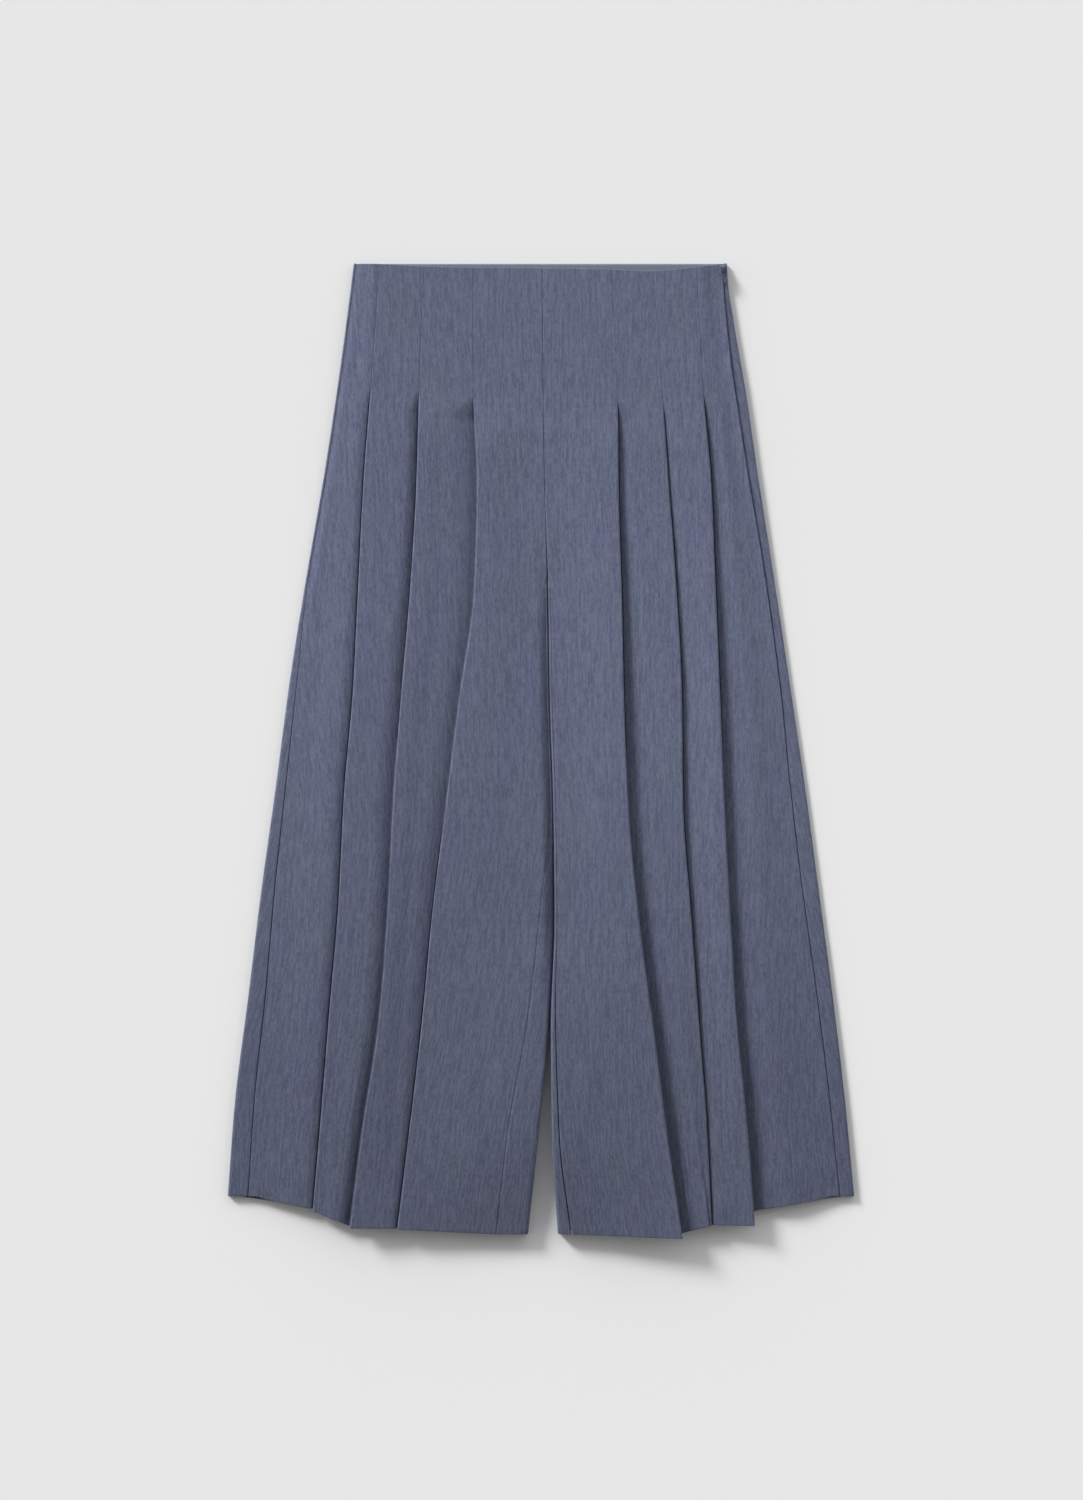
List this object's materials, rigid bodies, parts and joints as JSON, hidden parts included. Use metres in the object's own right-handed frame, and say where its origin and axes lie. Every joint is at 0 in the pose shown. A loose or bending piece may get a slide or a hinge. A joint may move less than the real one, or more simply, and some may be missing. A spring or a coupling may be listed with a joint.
{
  "type": "pleated culottes laid flat",
  "caption": "Wide-leg culottes lying flat, front up, with knife pleats let go from the hip and a zip in the left side seam.",
  "frame": {"origin": "middle of the laid garment's footprint, on the surface it lies on", "axes": "+Y from the hem to the waist, +Z out of the front, +X to the wearer's left"},
  "size_m": [0.577, 0.896, 0.0189],
  "materials": {
    "suiting": "heathered blue-grey suiting",
    "inner_cloth": "plain grey-blue facing",
    "zip_tape": "woven zip tape",
    "zip_enamel": "blue-grey enamel"
  },
  "bodies": {
    "garment": {"right_front": "suiting", "right_back": "suiting", "left_front": "suiting", "left_back": "suiting", "back_waist_facing": "inner_cloth", "zip_tape": "zip_tape", "zip_slider": "zip_enamel"},
    "pull": {"zip_pull": "zip_enamel"}
  },
  "joints": [
    {"name": "pull_hinge", "type": "hinge", "parent": "garment", "child": "pull", "pos_m": [0.16773, 0.442, 0.0075], "axis": [-0.9848, -0.1736, 0], "range_deg": [0, 175]}
  ]
}
